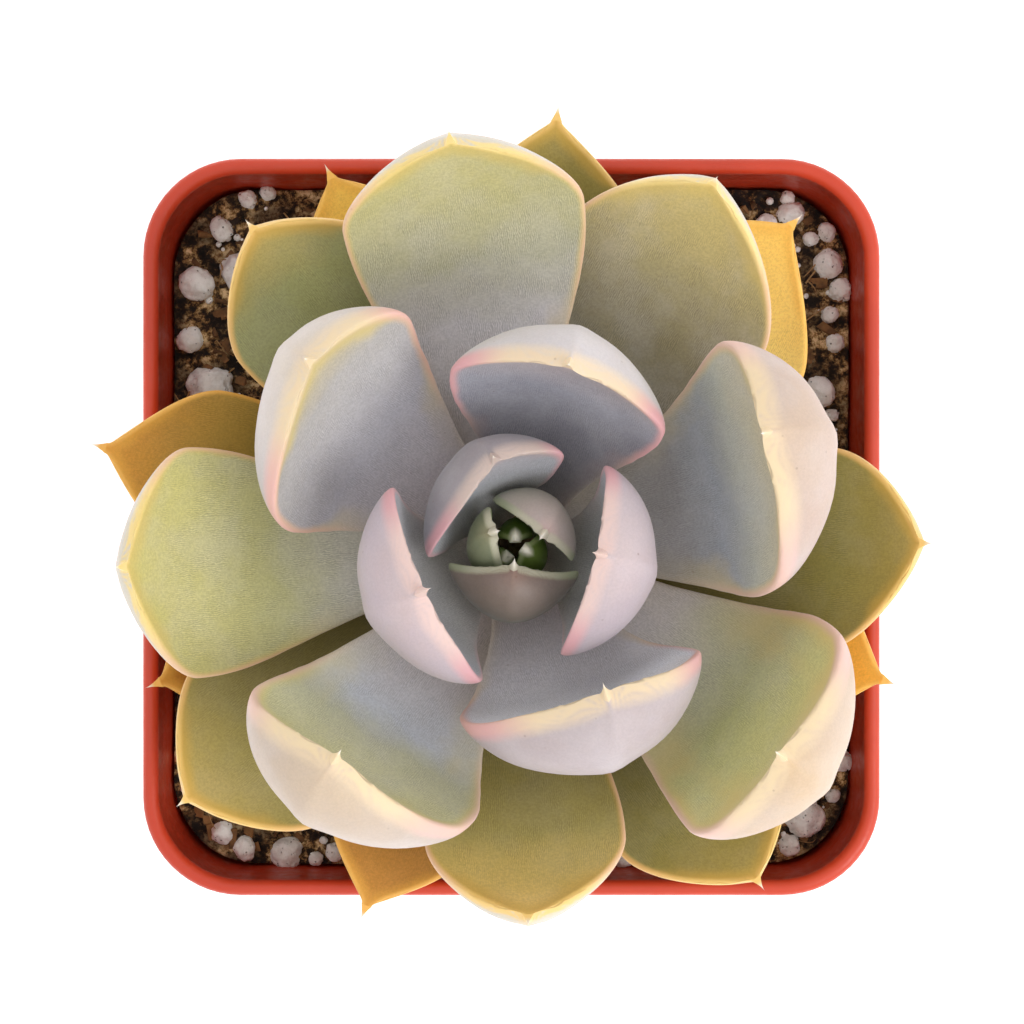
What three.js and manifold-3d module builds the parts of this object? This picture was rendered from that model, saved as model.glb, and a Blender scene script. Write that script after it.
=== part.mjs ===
// A potted mensa echeveria: a square plastic pot, potting mix with perlite, a short stem and
// thirty thick leaves set round it by the golden angle. Millimetres, Z up, and the origin is
// at the centre of the pot's underside.

import * as THREE from 'three';
import { mergeVertices } from 'three/addons/utils/BufferGeometryUtils.js';
import Module from 'manifold-3d';

const wasm = await Module();
wasm.setup();

// The clearance between neighbouring pieces
const gap = 0.3;

// The pot: a square with round corners, which narrows downwards below a wider rim band
const potWidth = 70;
const potHeight = 62;
const potCorner = 9.3;
const potBaseWidth = 54;
const potWall = 0.8;
const potFloor = 1.5;
const potFootBevel = 1.2;
const bandHeight = 9;
const bandStep = 0.2;
const bandFlare = 0.15;
const rimRound = 0.75;
const rimDepth = 1.8;
const cornerSteps = 6;
const cornerNarrowing = 0.8;
const drainHoleRadius = 3;
const drainHoleOffset = 14;
const drainHoleSides = 16;

// The potting mix, filled to below the rim
const soilTop = 53.2;
const soilRings = 9;
const soilSideSteps = 8;
const soilLump = 0.45;
const soilFootBevel = 1.5;

// The perlite: white grains in a band along the wall of the pot, half sunk in the soil
const grainCount = 72;
const grainTries = 6000;
const grainSmallest = 0.75;
const grainLargest = 2.35;
const grainSizeSpread = 1.5;
const grainSpacing = 1.04;
const grainBand = 10;
const grainWallward = 1.3;
const grainSwell = 0.28;
const grainFlatness = 0.84;
const seed = 5850;

// The stem, off the pot's centre as the plant stands in it
const plantX = 0.35;
const plantY = -1.8;
const stemBottom = 40;
const stemProfile = [
  [3.0, stemBottom],
  [4.2, 50],
  [4.4, 58],
  [4.2, 63],
  [3.5, 67],
  [2.4, 70.5],
  [1.3, 72.8],
  [0.3, 73.6],
];
const stemSides = 20;

// How finely a leaf's skin and its spine are divided
const aroundSegments = 12;
const alongSegments = 16;
const spineSteps = 64;

// The leaf blade, in shares of its length: the blade's part of the skin, what is rounded off at
// the stem, where it turns up, hooks in and shifts sideways, and where it is widest and thickest
const bladeShare = 0.875;
const baseRounding = 0.04;
const bendStart = 0.36;
const bendSpan = 0.24;
const hookStart = 0.72;
const shiftStart = 0.6;
const widestAt = 0.74;
const thickestAt = 0.72;

// Its width at the foot as a share of the greatest, the same for its thickness, and the powers
// that round off its outline and its belly
const neckWidth = 0.34;
const footThickness = 0.42;
const outlinePower = 1.8;
const outlineClose = 0.8;
const tipClose = 0.6;
const bellyPower = 2.2;
const bellyClose = 0.62;

// The hollow of the upper face, and the small point at the tip, which nods in over the leaf by a
// share of the leaf's hook
const usualCup = 0.16;
const mucroRadius = 0.5;
const mucroFlare = 1.8;
const mucroNod = 0.4;

// The leaves from the youngest, in the heart, to the oldest. turn is the leaf's direction seen
// from above, counted from +X, and foot the height at which it leaves the stem. rise is its
// slope there, lift what it gains past its middle and hook what it gains at the tip, in
// degrees. tip is the length of its point. lean bends it sideways and shift moves its tip
// sideways, in mm. cup is the depth of its hollow as a share of its half width, and blunt the
// power that closes its outline.
const leaves = [
  {
    turn: 230, foot: 74.9, length: 5.4, width: 2, thick: 0.8,
    rise: 86, lift: 4, hook: 8, tip: 0.4,
    cup: 0.2,
  },
  {
    turn: 90, foot: 74.0, length: 7.5, width: 3.1, thick: 1.2,
    rise: 80, lift: 14, hook: 30, tip: 0.4,
    cup: 0.3,
  },
  {
    turn: 324, foot: 73.6, length: 9, width: 4.2, thick: 1.4,
    rise: 76, lift: 20, hook: 34, tip: 0.5,
    cup: 0.3, shift: 0.4,
  },
  {
    turn: 192, foot: 73, length: 12.5, width: 6.7, thick: 1.7,
    rise: 79, lift: 14, hook: 28, tip: 1.2,
    cup: 0.34, shift: -1.8,
  },
  {
    turn: 53, foot: 72.6, length: 13.2, width: 8.8, thick: 2.1,
    rise: 72, lift: 22, hook: 30, tip: 1.2,
    cup: 0.36, shift: -1.3,
  },
  {
    turn: 266, foot: 72, length: 14.8, width: 11.8, thick: 2.5,
    rise: 68, lift: 34, hook: 46, tip: 1.1,
    cup: 0.4,
  },
  {
    turn: 124.5, foot: 71.4, length: 17.2, width: 14.5, thick: 3.6,
    rise: 70, lift: 4, hook: 8, tip: 1.8,
    cup: 0.36, shift: -3,
  },
  {
    turn: 347, foot: 70.8, length: 21.6, width: 17.4, thick: 4.7,
    rise: 60, lift: 28, hook: 18, tip: 2.8,
    cup: 0.24, shift: 1.2,
  },
  {
    turn: 205, foot: 70.2, length: 23.2, width: 19.2, thick: 4.8,
    rise: 56, lift: 28, hook: 24, tip: 3,
    cup: 0.23,
  },
  {
    turn: 73.8, foot: 69.2, length: 27.9, width: 20, thick: 4.8,
    rise: 49, lift: 14, hook: 28, tip: 2,
    cup: 0.22,
  },
  {
    turn: 287.5, foot: 68.6, length: 28.6, width: 22.2, thick: 6.0,
    rise: 40, lift: 38, hook: 36, tip: 2.4,
    cup: 0.18, lean: 3.2, shift: 0.6,
  },
  {
    turn: 144.8, foot: 68.1, length: 31.4, width: 21.4, thick: 6.5,
    rise: 33, lift: 24, hook: 13, tip: 1.8,
    lean: 1, shift: -4,
  },
  {
    turn: 13, foot: 67.3, length: 36, width: 22.6, thick: 7.0,
    rise: 31, lift: 34, hook: 36, tip: 1.8,
    cup: 0.1, lean: 4, shift: 1,
  },
  {
    turn: 235.5, foot: 66.4, length: 36.6, width: 22.8, thick: 6.5,
    rise: 26, lift: 38, hook: 48, tip: 2,
    cup: 0.08, shift: -2.6,
  },
  {
    turn: 323, foot: 64.9, length: 41, width: 22.6, thick: 6.3,
    rise: 21, lift: 38, hook: 44, tip: 2,
    cup: 0.06, lean: 1.5, shift: -2, blunt: 1,
  },
  {
    turn: 98.3, foot: 66, length: 39.3, width: 22.2, thick: 4.8,
    rise: 18, lift: 20, hook: 20, tip: 2.2,
    cup: 0.12, lean: 0.5, widest: 0.78,
  },
  {
    turn: 182.8, foot: 64.1, length: 37, width: 21.2, thick: 4.3,
    rise: 16, lift: 22, hook: 22, tip: 1.9,
    cup: 0.12, widest: 0.78,
  },
  {
    turn: 59.9, foot: 63.2, length: 37.5, width: 22, thick: 4.6,
    rise: 15, lift: 16, hook: 20, tip: 1.3,
    cup: 0.12, shift: 1, widest: 0.66,
  },
  {
    turn: 272, foot: 62.9, length: 34, width: 18.6, thick: 4.6,
    rise: 16, lift: 18, hook: 24, tip: 1.3,
    cup: 0.12,
  },
  {
    turn: 129.5, foot: 62.6, length: 36, width: 17.8, thick: 4.0,
    rise: 14, lift: 12, hook: 10, tip: 1.4,
  },
  {
    turn: 359, foot: 61.9, length: 35.8, width: 18.8, thick: 4.2,
    rise: 14, lift: 14, hook: 12, tip: 1.4,
    shift: 1,
  },
  {
    turn: 217.5, foot: 60.9, length: 36, width: 19.2, thick: 3.8,
    rise: 14, lift: 10, hook: 8, tip: 1.4,
  },
  {
    turn: 83, foot: 59.4, length: 36.8, width: 15.8, thick: 3.4,
    rise: 11, lift: 8, hook: 6, tip: 1.6,
    shift: 1, blunt: 1.1,
  },
  {
    turn: 304.5, foot: 60.4, length: 35.4, width: 17, thick: 3.6,
    rise: 12, lift: 10, hook: 8, tip: 1.4,
    shift: 1,
  },
  {
    turn: 165, foot: 59.4, length: 36, width: 14.6, thick: 3.2,
    rise: 12, lift: 6, hook: 4, tip: 1.6,
    shift: 1, blunt: 1.1,
  },
  {
    turn: 43.8, foot: 58, length: 35.9, width: 17, thick: 3.0,
    rise: 10, lift: 6, hook: 4, tip: 1.6,
    shift: 3.8, blunt: 1.1,
  },
  {
    turn: 247.5, foot: 58.4, length: 32.8, width: 14, thick: 2.8,
    rise: 10, lift: 6, hook: 4, tip: 1.6,
    blunt: 1.1,
  },
  {
    turn: 116.5, foot: 57.6, length: 35, width: 14, thick: 2.8,
    rise: 10, lift: 6, hook: 4, tip: 1.6,
    blunt: 1,
  },
  {
    turn: 340, foot: 57, length: 33.2, width: 14.8, thick: 2.8,
    rise: 11, lift: 6, hook: 4, tip: 1.6,
    blunt: 1.2,
  },
  {
    turn: 201, foot: 56.8, length: 32.2, width: 16, thick: 2.6,
    rise: 11, lift: 6, hook: 4, tip: 1.6,
    blunt: 1.2,
  },
];

const mix = THREE.MathUtils.lerp;
const smooth = (x, from, to) => THREE.MathUtils.smoothstep(x, from, to);
const radians = THREE.MathUtils.degToRad;

function closedGeometry(geometry, tolerance = 1e-4) {
  geometry.deleteAttribute('normal');
  geometry.deleteAttribute('uv');
  return mergeVertices(geometry, tolerance);
}

function solidOf(geometry) {
  const closed = closedGeometry(geometry);
  return new wasm.Manifold(new wasm.Mesh({
    numProp: 3,
    vertProperties: Float32Array.from(closed.attributes.position.array),
    triVerts: Uint32Array.from(closed.index.array),
  }));
}

function geometryOf(solid) {
  const mesh = solid.getMesh();
  const geometry = new THREE.BufferGeometry();
  geometry.setAttribute('position', new THREE.BufferAttribute(mesh.vertProperties, 3));
  geometry.setIndex(new THREE.BufferAttribute(mesh.triVerts, 1));
  return geometry;
}

// The same draws on every run
function seededRandom(start) {
  let state = start;
  return () => {
    state = (state * 16807) % 2147483647;
    return state / 2147483647;
  };
}

function finish(color, roughness, metalness = 0) {
  return new THREE.MeshStandardMaterial({ color, roughness, metalness });
}

function piece(name, geometry, material) {
  const mesh = new THREE.Mesh(geometry, material);
  mesh.name = name;
  return mesh;
}

// Pot and soil: a turned profile whose rings are pulled out to a square with round corners

const sideX = [1, -1, -1, 1];
const sideY = [1, 1, -1, -1];

function squareRings(profile, cornerOf, straightSteps) {
  const perSide = cornerSteps + straightSteps;
  const sides = 4 * perSide;
  const points = profile.map(([half, z]) => new THREE.Vector2(half, z));
  const geometry = closedGeometry(new THREE.LatheGeometry(points, sides));
  geometry.rotateX(Math.PI / 2);
  const position = geometry.attributes.position;
  for (let i = 0; i < position.count; i += 1) {
    const x = position.getX(i);
    const y = position.getY(i);
    const half = Math.hypot(x, y);
    const step = (Math.round((Math.atan2(y, x) / (2 * Math.PI)) * sides) + sides) % sides;
    const quarter = Math.floor(step / perSide);
    const inSide = step % perSide;
    const angle = (Math.PI / 2) * (quarter + Math.min(1, inSide / cornerSteps));
    const corner = Math.min(half, cornerOf(half));
    const centre = half - corner;
    const onward = Math.max(0, inSide - cornerSteps) / straightSteps;
    const turned = (quarter + 1) % 4;
    const middleX = mix(sideX[quarter], sideX[turned], onward) * centre;
    const middleY = mix(sideY[quarter], sideY[turned], onward) * centre;
    position.setX(i, middleX + corner * Math.cos(angle));
    position.setY(i, middleY + corner * Math.sin(angle));
  }
  return geometry;
}

// The corner keeps its distance to the wall, and gets tighter towards the pot's base
const cornerAt = (half) => Math.max(1, potCorner - (potWidth / 2 - half) * cornerNarrowing);

function wallHalf(z) {
  return mix(potBaseWidth / 2, potWidth / 2 - bandStep, z / potHeight);
}

function makePot() {
  const half = potWidth / 2;
  const bandBottom = potHeight - bandHeight;
  const innerTop = half - 2 * rimRound;
  const profile = [
    [0, 0],
    [wallHalf(0) - potFootBevel, 0],
    [wallHalf(0), potFootBevel],
    [wallHalf(bandBottom), bandBottom],
    [half - bandFlare, bandBottom + bandStep],
    [half, potHeight - rimRound],
    [half - 0.3 * rimRound, potHeight - 0.3 * rimRound],
    [half - rimRound, potHeight],
    [half - 1.7 * rimRound, potHeight - 0.3 * rimRound],
    [innerTop, potHeight - rimRound],
    [wallHalf(potHeight - rimDepth) - potWall, potHeight - rimDepth],
    [wallHalf(potFloor) - potWall, potFloor],
    [0, potFloor],
  ];
  let solid = solidOf(squareRings(profile, cornerAt, 1));
  for (let quarter = 0; quarter < 4; quarter += 1) {
    const hole = new THREE.CylinderGeometry(drainHoleRadius, drainHoleRadius, 3 * potFloor, drainHoleSides);
    hole.rotateX(Math.PI / 2);
    hole.translate(sideX[quarter] * drainHoleOffset, sideY[quarter] * drainHoleOffset, potFloor / 2);
    solid = solid.subtract(solidOf(hole));
  }
  return piece('pot', geometryOf(solid), finish(0xc8482c, 0.42));
}

// The soil's surface: low lumps that don't repeat within the pot
function lump(x, y) {
  const coarse = Math.sin(0.42 * x + 1.3) * Math.cos(0.37 * y - 0.6);
  const fine = Math.sin(0.63 * x - 0.41 * y) + Math.cos(0.53 * y + 0.38 * x);
  return soilLump * (coarse + 0.5 * fine);
}

function soilHalf(z) {
  return wallHalf(z) - potWall - gap;
}

function soilBody() {
  const foot = potFloor + gap;
  const profile = [
    [0, foot],
    [soilHalf(foot) - soilFootBevel, foot],
    [soilHalf(foot + soilFootBevel), foot + soilFootBevel],
  ];
  const top = soilHalf(soilTop);
  for (let ring = 0; ring <= soilRings; ring += 1) {
    profile.push([top * (1 - ring / soilRings), soilTop]);
  }
  const body = squareRings(profile, (half) => cornerAt(half + potWall + gap), soilSideSteps);
  const position = body.attributes.position;
  for (let i = 0; i < position.count; i += 1) {
    if (Math.abs(position.getZ(i) - soilTop) < 1e-3) {
      position.setZ(i, soilTop + lump(position.getX(i), position.getY(i)));
    }
  }
  return solidOf(body);
}

function makeGrain(random, x, y, size) {
  const grain = closedGeometry(new THREE.IcosahedronGeometry(size, 0));
  const position = grain.attributes.position;
  for (let i = 0; i < position.count; i += 1) {
    const swell = 1 + grainSwell * (random() - 0.5);
    position.setX(i, swell * position.getX(i));
    position.setY(i, swell * position.getY(i));
    position.setZ(i, swell * grainFlatness * position.getZ(i));
  }
  grain.rotateZ(2 * Math.PI * random());
  grain.translate(x, y, soilTop + lump(x, y));
  return solidOf(grain);
}

// A spot for a grain: so far along one of the four walls and so far in from it
function grainSpot(random) {
  const size = mix(grainSmallest, grainLargest, random() ** grainSizeSpread);
  const reach = soilHalf(soilTop) - size;
  const along = reach * (2 * random() - 1);
  const out = reach - grainBand * random() ** grainWallward;
  const wall = Math.floor(4 * random());
  const sign = wall % 2 === 0 ? 1 : -1;
  const x = wall < 2 ? sign * out : along;
  const y = wall < 2 ? along : sign * out;
  const corner = cornerAt(soilHalf(soilTop)) - size;
  const pastX = Math.max(0, Math.abs(x) - reach + corner);
  const pastY = Math.max(0, Math.abs(y) - reach + corner);
  return { x, y, size, inside: Math.hypot(pastX, pastY) <= corner };
}

function makeSoil() {
  const random = seededRandom(seed);
  let soil = soilBody();
  const placed = [];
  let tries = 0;
  while (placed.length < grainCount && tries < grainTries) {
    tries += 1;
    const spot = grainSpot(random);
    const clear = placed.every((other) => (
      Math.hypot(other.x - spot.x, other.y - spot.y) > grainSpacing * (other.size + spot.size)
    ));
    if (clear && spot.inside) {
      placed.push(spot);
      soil = soil.add(makeGrain(random, spot.x, spot.y, spot.size));
    }
  }
  const hole = new THREE.LatheGeometry([
    new THREE.Vector2(0, stemBottom - gap),
    new THREE.Vector2(stemProfile[0][0] + gap, stemBottom - gap),
    ...stemProfile.slice(1, 3).map(([radius, z]) => new THREE.Vector2(radius + gap, z)),
    new THREE.Vector2(0, stemProfile[2][1]),
  ], stemSides);
  hole.rotateX(Math.PI / 2);
  hole.translate(plantX, plantY, 0);
  return piece('soil', geometryOf(soil.subtract(solidOf(hole))), finish(0x3c2a1c, 0.95));
}

function makeStem() {
  const last = stemProfile[stemProfile.length - 1];
  const points = [
    new THREE.Vector2(0, stemBottom),
    ...stemProfile.map(([radius, z]) => new THREE.Vector2(radius, z)),
    new THREE.Vector2(0, last[1] + 0.5),
  ];
  const geometry = closedGeometry(new THREE.LatheGeometry(points, stemSides));
  geometry.rotateX(Math.PI / 2);
  const stem = piece('stem', geometry, finish(0x8a7350, 0.8));
  stem.position.set(plantX, plantY, 0);
  return stem;
}

function stemRadius(z) {
  let radius = stemProfile[stemProfile.length - 1][0];
  for (let i = 1; i < stemProfile.length; i += 1) {
    const [radiusBelow, below] = stemProfile[i - 1];
    const [radiusAbove, above] = stemProfile[i];
    if (z >= below && z < above) {
      radius = mix(radiusBelow, radiusAbove, (z - below) / (above - below));
    }
  }
  return radius;
}

// The leaf's spine runs along the middle of its upper face. Its slope at each share of the
// length adds up to the curve.
function slopeAt(leaf, s) {
  const lifted = smooth(s, bendStart, bendStart + bendSpan);
  return leaf.rise + leaf.lift * lifted + leaf.hook * smooth(s, hookStart, 1);
}

function spineOf(leaf) {
  const points = [{ x: 0, z: 0 }];
  const step = leaf.length / spineSteps;
  for (let i = 1; i <= spineSteps; i += 1) {
    const slope = radians(slopeAt(leaf, (i - 0.5) / spineSteps));
    const last = points[i - 1];
    points.push({ x: last.x + step * Math.cos(slope), z: last.z + step * Math.sin(slope) });
  }
  return points;
}

function spineAt(spine, s) {
  const place = Math.min(s, 1) * spineSteps;
  const index = Math.min(Math.floor(place), spineSteps - 1);
  const a = spine[index];
  const b = spine[index + 1];
  return { x: mix(a.x, b.x, place - index), z: mix(a.z, b.z, place - index) };
}

// Half the width, and the thickness, at a share of the length
function halfWidthAt(leaf, s) {
  const widest = leaf.widest ?? widestAt;
  const full = leaf.width / 2;
  if (s < widest) {
    return full * mix(neckWidth, 1, Math.sin((Math.PI / 2) * (s / widest)) ** 2);
  }
  return full * (1 - ((s - widest) / (1 - widest)) ** outlinePower) ** (leaf.blunt ?? outlineClose);
}

function thicknessAt(leaf, s) {
  if (s < thickestAt) {
    return leaf.thick * mix(footThickness, 1, smooth(s, 0, thickestAt));
  }
  return leaf.thick * (1 - ((s - thickestAt) / (1 - thickestAt)) ** 2) ** tipClose;
}

// A point of the leaf's skin: polar runs from the foot to the point of the tip, around goes
// once round the section and is 0 at one margin
function leafPoint(leaf, spine, polar, around) {
  const blade = Math.min(1, polar / bladeShare);
  const s = (1 - Math.cos(Math.PI * blade)) / 2;
  const rounding = s < baseRounding ? Math.sqrt(1 - (1 - s / baseRounding) ** 2) : 1;
  const across = Math.cos(around);
  const upper = Math.sin(around) >= 0;
  const half = Math.hypot(halfWidthAt(leaf, s), mucroRadius) * rounding;
  const thick = Math.hypot(thicknessAt(leaf, s), 2 * mucroRadius) * rounding;
  const cup = (leaf.cup ?? usualCup) * smooth(s, 0.05, 0.5);
  let side = half * across;
  let rise = cup * halfWidthAt(leaf, s) * across ** 2;
  if (!upper) {
    rise -= thick * (1 - Math.abs(across) ** bellyPower) ** bellyClose;
  }
  const spot = spineAt(spine, s);
  const slope = radians(slopeAt(leaf, s));
  const aim = slope + radians(mucroNod * leaf.hook);
  let along = 0;
  if (polar > bladeShare) {
    const point = (polar - bladeShare) / (1 - bladeShare);
    const taper = (1 - point) ** mucroFlare;
    side *= taper;
    rise = mix(-mucroRadius, rise, taper);
    along = leaf.tip * point;
  }
  const sideways = (leaf.lean ?? 0) * s ** 2 + (leaf.shift ?? 0) * smooth(s, shiftStart, 1);
  return new THREE.Vector3(
    spot.x + along * Math.cos(aim) - rise * Math.sin(slope),
    side + sideways,
    spot.z + along * Math.sin(aim) + rise * Math.cos(slope),
  );
}

function leafGeometry(leaf) {
  const geometry = closedGeometry(new THREE.SphereGeometry(1, aroundSegments, alongSegments));
  const position = geometry.attributes.position;
  const spine = spineOf(leaf);
  for (let i = 0; i < position.count; i += 1) {
    const polar = Math.acos(THREE.MathUtils.clamp(position.getY(i), -1, 1)) / Math.PI;
    const around = Math.atan2(position.getZ(i), position.getX(i));
    const point = leafPoint(leaf, spine, polar, around);
    position.setXYZ(i, point.x, point.y, point.z);
  }
  return geometry;
}

function makeLeaf(leaf, index) {
  const age = index / (leaves.length - 1);
  const skin = new THREE.Color(0x6f8a5c);
  skin.lerp(new THREE.Color(0xa9a9b4), smooth(age, 0.1, 0.3));
  skin.lerp(new THREE.Color(0xa7a567), smooth(age, 0.45, 0.7));
  skin.lerp(new THREE.Color(0xd9a24a), smooth(age, 0.75, 0.9));
  const name = `leaf_${String(index + 1).padStart(2, '0')}`;
  const mesh = piece(name, leafGeometry(leaf), finish(skin, 0.6));
  const holder = new THREE.Group();
  holder.position.set(plantX, plantY, leaf.foot);
  holder.rotation.z = radians(leaf.turn);
  mesh.position.x = stemRadius(leaf.foot) + gap;
  holder.add(mesh);
  return holder;
}

const plant = new THREE.Group();
plant.add(makePot());
plant.add(makeSoil());
plant.add(makeStem());
leaves.forEach((leaf, index) => plant.add(makeLeaf(leaf, index)));

export default plant;
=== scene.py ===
import math
import random

import bmesh
import bpy
import numpy as np
from mathutils import Matrix, Vector, noise


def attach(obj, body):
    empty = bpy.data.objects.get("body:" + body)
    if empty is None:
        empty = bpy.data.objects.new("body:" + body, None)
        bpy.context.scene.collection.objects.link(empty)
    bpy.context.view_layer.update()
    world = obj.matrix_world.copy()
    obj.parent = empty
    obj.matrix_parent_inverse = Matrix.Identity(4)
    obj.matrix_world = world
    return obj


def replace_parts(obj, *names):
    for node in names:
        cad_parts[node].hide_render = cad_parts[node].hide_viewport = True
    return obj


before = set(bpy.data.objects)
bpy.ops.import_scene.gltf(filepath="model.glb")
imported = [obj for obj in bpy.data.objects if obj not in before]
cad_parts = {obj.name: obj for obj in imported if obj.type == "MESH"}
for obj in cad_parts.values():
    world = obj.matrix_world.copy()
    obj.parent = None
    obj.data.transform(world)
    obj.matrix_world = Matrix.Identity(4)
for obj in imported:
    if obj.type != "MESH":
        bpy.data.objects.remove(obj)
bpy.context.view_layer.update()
scene = bpy.context.scene
mm = 0.001


def smooth(x, low, high):
    t = min(max((x - low) / (high - low), 0.0), 1.0)
    return t * t * (3 - 2 * t)


def mix(a, b, t):
    return a + (b - a) * t


# Screen colours, 0 to 255, as linear ones
def paint(r, g, b):
    def linear(c):
        c = c / 255
        return c / 12.92 if c <= 0.04045 else ((c + 0.055) / 1.055) ** 2.4
    return (linear(r), linear(g), linear(b), 1.0)


def newObject(name, bm, material):
    mesh = bpy.data.meshes.new(name)
    bm.to_mesh(mesh)
    bm.free()
    for face in mesh.polygons:
        face.use_smooth = True
    piece = bpy.data.objects.new(name, mesh)
    scene.collection.objects.link(piece)
    mesh.materials.append(material)
    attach(piece, "root")
    return piece


# A material and the nodes that are laid on it
class Board:
    def __init__(self, name, roughness=0.5):
        self.material = bpy.data.materials.new(name)
        self.material.use_nodes = True
        self.tree = self.material.node_tree
        self.shader = self.tree.nodes["Principled BSDF"]
        self.shader.inputs["Roughness"].default_value = roughness
        self.where = self.node("TexCoord").outputs["Object"]

    def node(self, kind):
        return self.tree.nodes.new("ShaderNode" + kind)

    def plug(self, socket, value):
        if isinstance(value, bpy.types.NodeSocket):
            self.tree.links.new(value, socket)
        else:
            socket.default_value = value

    # a node with its inputs set; an underscore stands for the blank in an input's name
    def fill(self, kind, **inputs):
        made = self.node(kind)
        for name, value in inputs.items():
            self.plug(made.inputs[name.replace("_", " ")], value)
        return made

    def attribute(self, name):
        source = self.node("Attribute")
        source.attribute_name = name
        return source.outputs["Fac"]

    def uv(self, scale):
        source = self.node("UVMap")
        source.uv_map = "leafUv"
        return self.fill("Mapping", Vector=source.outputs["UV"], Scale=scale).outputs["Vector"]

    def noise(self, vector, scale, detail, rough):
        made = self.fill("TexNoise", Vector=vector, Scale=scale, Detail=detail, Roughness=rough)
        return made.outputs["Fac"]

    def voronoi(self, vector, scale):
        return self.fill("TexVoronoi", Vector=vector, Scale=scale).outputs["Distance"]

    def span(self, value, low, high, toLow=0.0, toHigh=1.0):
        made = self.fill("MapRange", Value=value, From_Min=low, From_Max=high, To_Min=toLow, To_Max=toHigh)
        made.interpolation_type = "SMOOTHSTEP"
        return made.outputs["Result"]

    def maths(self, operation, a, b):
        made = self.node("Math")
        made.operation = operation
        self.plug(made.inputs[0], a)
        self.plug(made.inputs[1], b)
        return made.outputs[0]

    def times(self, a, b):
        return self.maths("MULTIPLY", a, b)

    def plus(self, a, b):
        return self.maths("ADD", a, b)

    def blend(self, factor, a, b, mode="MIX"):
        made = self.node("Mix")
        made.data_type = "RGBA"
        made.blend_type = mode
        for place, value in ((0, factor), (6, a), (7, b)):
            self.plug(made.inputs[place], value)
        return made.outputs[2]

    def between(self, factor, a, b):
        made = self.node("Mix")
        made.data_type = "FLOAT"
        for place, value in ((0, factor), (2, a), (3, b)):
            self.plug(made.inputs[place], value)
        return made.outputs[0]

    # stops: places from 0 to 1, each with its screen colour
    def ramp(self, value, stops):
        made = self.fill("ValToRGB", Fac=value)
        band = made.color_ramp
        for i, (place, *colour) in enumerate(stops):
            stop = band.elements[i] if i < 2 else band.elements.new(place)
            stop.position = place
            stop.color = paint(*colour)
        return made.outputs["Color"]

    def bump(self, height, strength, distance):
        made = self.fill("Bump", Height=height, Strength=strength, Distance=distance)
        self.plug(self.shader.inputs["Normal"], made.outputs["Normal"])

    def colour(self, value):
        self.plug(self.shader.inputs["Base Color"], value)

    # light that goes a little way in, with its reach in red, green and blue
    def soften(self, weight, radius, scale):
        self.shader.inputs["Subsurface Weight"].default_value = weight
        self.shader.inputs["Subsurface Radius"].default_value = radius
        self.shader.inputs["Subsurface Scale"].default_value = scale


# The pot, in millimetres: rings pulled out to a square with round corners, as the solid's are
potShape = {
    "width": 70.0, "height": 62.0, "corner": 9.3, "smallestCorner": 1.0, "narrowing": 0.8,
    "baseWidth": 54.0, "wall": 0.8, "floor": 1.5, "floorRound": 0.8, "floorRing": 9, "footRing": 10,
    "insideHeights": (20, 40, 50, 56), "outsideHeights": (40, 25, 10, 3), "bandDrops": (3, 6, 8.5),
    "band": 9.0, "bandStep": 0.2, "bandFlare": 0.15, "bandUnder": ((0.15, -0.12), (-0.05, 0.05)),
    "rimRound": 0.75, "rimDepth": 1.8, "rimSteps": 12, "footBevel": 1.2, "footSteps": 6,
    "cornerSteps": 14, "sideSteps": 12, "holeRadius": 3.0, "holeOffset": 14.0, "holeSides": 32,
}


def cornerAt(half):
    s = potShape
    return max(s["smallestCorner"], s["corner"] - (s["width"] / 2 - half) * s["narrowing"])


def wallHalf(z):
    top = potShape["width"] / 2 - potShape["bandStep"]
    return mix(potShape["baseWidth"] / 2, top, z / potShape["height"])


# Where the ring's point number i of count lies
def squarePoint(i, half, corner, z):
    perSide = potShape["cornerSteps"] + potShape["sideSteps"]
    quarter, inSide = divmod(i, perSide)
    turned = (quarter + 1) % 4
    signs = [(1, 1), (-1, 1), (-1, -1), (1, -1)]
    angle = math.pi / 2 * (quarter + min(1.0, inSide / potShape["cornerSteps"]))
    corner = min(corner, half)
    onward = max(0, inSide - potShape["cornerSteps"]) / potShape["sideSteps"]
    centre = half - corner
    x = mix(signs[quarter][0], signs[turned][0], onward) * centre + corner * math.cos(angle)
    y = mix(signs[quarter][1], signs[turned][1], onward) * centre + corner * math.sin(angle)
    return Vector((x, y, z)) * mm


# Starts from a circle and extrudes it from ring to ring of the profile
def squareLoft(bm, profile, cornerOf):
    count = 4 * (potShape["cornerSteps"] + potShape["sideSteps"])
    ring = bmesh.ops.create_circle(bm, segments=count, radius=1.0)["verts"]
    ring.sort(key=lambda v: math.atan2(v.co.y, v.co.x) % math.tau)
    edges = [bm.edges.get((ring[i], ring[(i + 1) % count])) for i in range(count)]
    for i, v in enumerate(ring):
        v.co = squarePoint(i, profile[0][0], cornerOf(profile[0][0]), profile[0][1])
    first = list(edges)
    for half, z in profile[1:]:
        made = bmesh.ops.extrude_edge_only(bm, edges=edges)["geom"]
        verts = {v for v in made if isinstance(v, bmesh.types.BMVert)}
        fresh = []
        for v in ring:
            up = [e.other_vert(v) for e in v.link_edges if e.other_vert(v) in verts]
            fresh.append(up[0])
        for i, v in enumerate(fresh):
            v.co = squarePoint(i, half, cornerOf(half), z)
        ring = fresh
        edges = [bm.edges.get((ring[i], ring[(i + 1) % count])) for i in range(count)]
    return first, edges


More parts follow.
